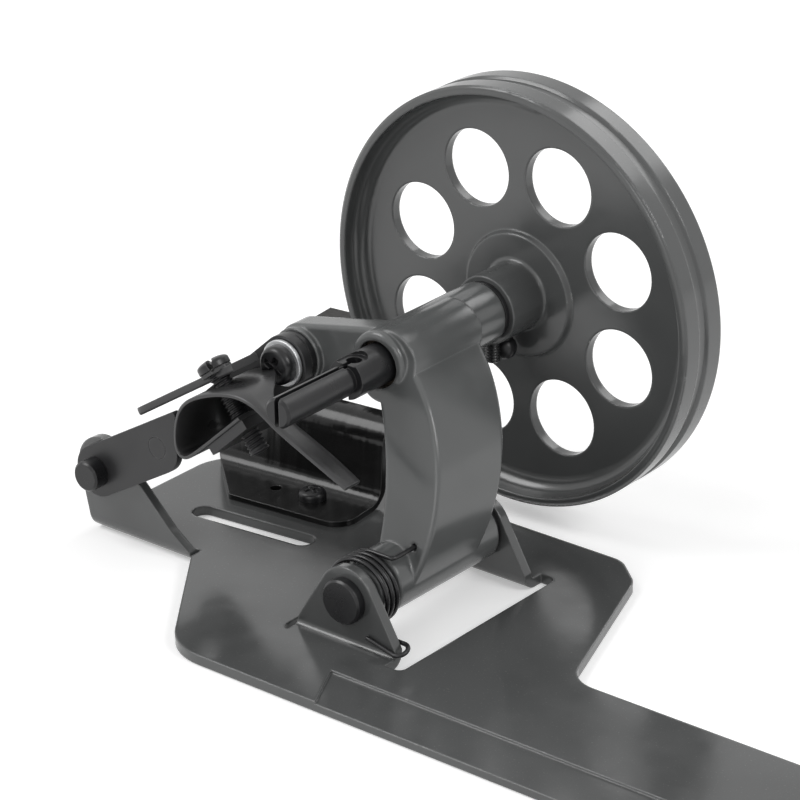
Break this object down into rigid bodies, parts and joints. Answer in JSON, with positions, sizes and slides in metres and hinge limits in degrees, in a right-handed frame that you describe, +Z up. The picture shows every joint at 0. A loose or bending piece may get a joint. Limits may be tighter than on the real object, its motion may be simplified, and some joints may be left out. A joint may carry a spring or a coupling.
{
  "type": "sewing bobbin winder",
  "caption": "Bolt-on bobbin winder: belt-driven wheel and split spindle on a swing arm, held by a toggle latch that a feeler trips when the bobbin is full.",
  "frame": {"origin": "on the base's underside, straight below the free end of the spindle", "axes": "+X along the base arm towards the thread tension, +Y along the spindle from its nose to the wheel, +Z up"},
  "size_m": [0.2066, 0.0949, 0.09],
  "materials": {
    "grey_paint": "glossy dark grey enamel",
    "black_oxide": "blackened steel, satin with oil sheen",
    "black_bracket": "black paint, semi-gloss",
    "bright_steel": "bright zinc plate",
    "bronze": "oiled sintered bronze",
    "rubber": "matt",
    "chrome": "nickel plated"
  },
  "bodies": {
    "base": {"base_plate": "grey_paint", "pivot_pin": "black_oxide", "pivot_clip": "black_oxide", "pivot_washer": "black_oxide", "return_spring": "black_oxide", "latch_stud": "black_oxide", "brake_bracket": "black_bracket", "brake_pad": "rubber", "brake_screw": "black_oxide", "tension_post": "bright_steel", "inner_disc": "chrome", "tension_spring": "bright_steel", "thread_eye": "chrome"},
    "swing_arm": {"swing_arm": "grey_paint", "front_bush": "bronze", "rear_bush": "bronze", "link_screw": "black_oxide", "link_washer": "bright_steel", "link_spacer": "black_oxide"},
    "spindle": {"spindle": "black_oxide", "drive_wheel": "grey_paint", "set_screw": "black_oxide", "dome_screw": "black_oxide", "thrust_washer": "black_oxide"},
    "lower_link": {"lower_link": "black_oxide"},
    "upper_link": {"upper_link": "black_oxide", "knee_pin": "black_oxide", "knee_sleeve": "black_oxide", "feeler": "black_oxide", "thumb_plate": "black_oxide", "lock_nut": "black_oxide"},
    "adjusting_screw": {"adjusting_screw": "black_oxide"},
    "outer_disc": {"outer_disc": "chrome"},
    "tension_nut": {"tension_nut": "chrome"}
  },
  "joints": [
    {"name": "arm_swing", "type": "hinge", "parent": "base", "child": "swing_arm", "pos_m": [0.0113, 0.03, 0.0108], "axis": [0, 1, 0], "range_deg": [-5.5, 0], "deforming": ["return_spring"]},
    {"name": "spindle_spin", "type": "hinge", "parent": "swing_arm", "child": "spindle", "pos_m": [0, 0.04, 0.047], "axis": [0, 1, 0], "continuous": true},
    {"name": "lower_link_swing", "type": "hinge", "parent": "base", "child": "lower_link", "pos_m": [-0.059, 0.012, 0.0142], "axis": [0, 1, 0], "range_deg": [-41, 0]},
    {"name": "knee", "type": "hinge", "parent": "lower_link", "child": "upper_link", "pos_m": [-0.042, 0.02, 0.02415], "axis": [0, 1, 0], "range_deg": [0, 71]},
    {"name": "adjusting_screw_turn", "type": "hinge", "parent": "upper_link", "child": "adjusting_screw", "pos_m": [-0.0273, 0.015, 0.0406], "axis": [-0.6018, 0, 0.7986], "continuous": true},
    {"name": "outer_disc_lift", "type": "slide", "parent": "base", "child": "outer_disc", "axis": [1, 0, 0], "range_m": [0, 0.001], "stiffness_N_per_m": 300, "deforming": ["tension_spring"]},
    {"name": "tension_nut_turn", "type": "hinge", "parent": "base", "child": "tension_nut", "pos_m": [0.135, 0.0065, 0.017], "axis": [1, 0, 0], "continuous": true}
  ],
  "couplings": [
    {"joint": "lower_link_swing", "follows": "arm_swing", "ratio": 7.328},
    {"joint": "knee", "follows": "arm_swing", "ratio": -12.789}
  ]
}
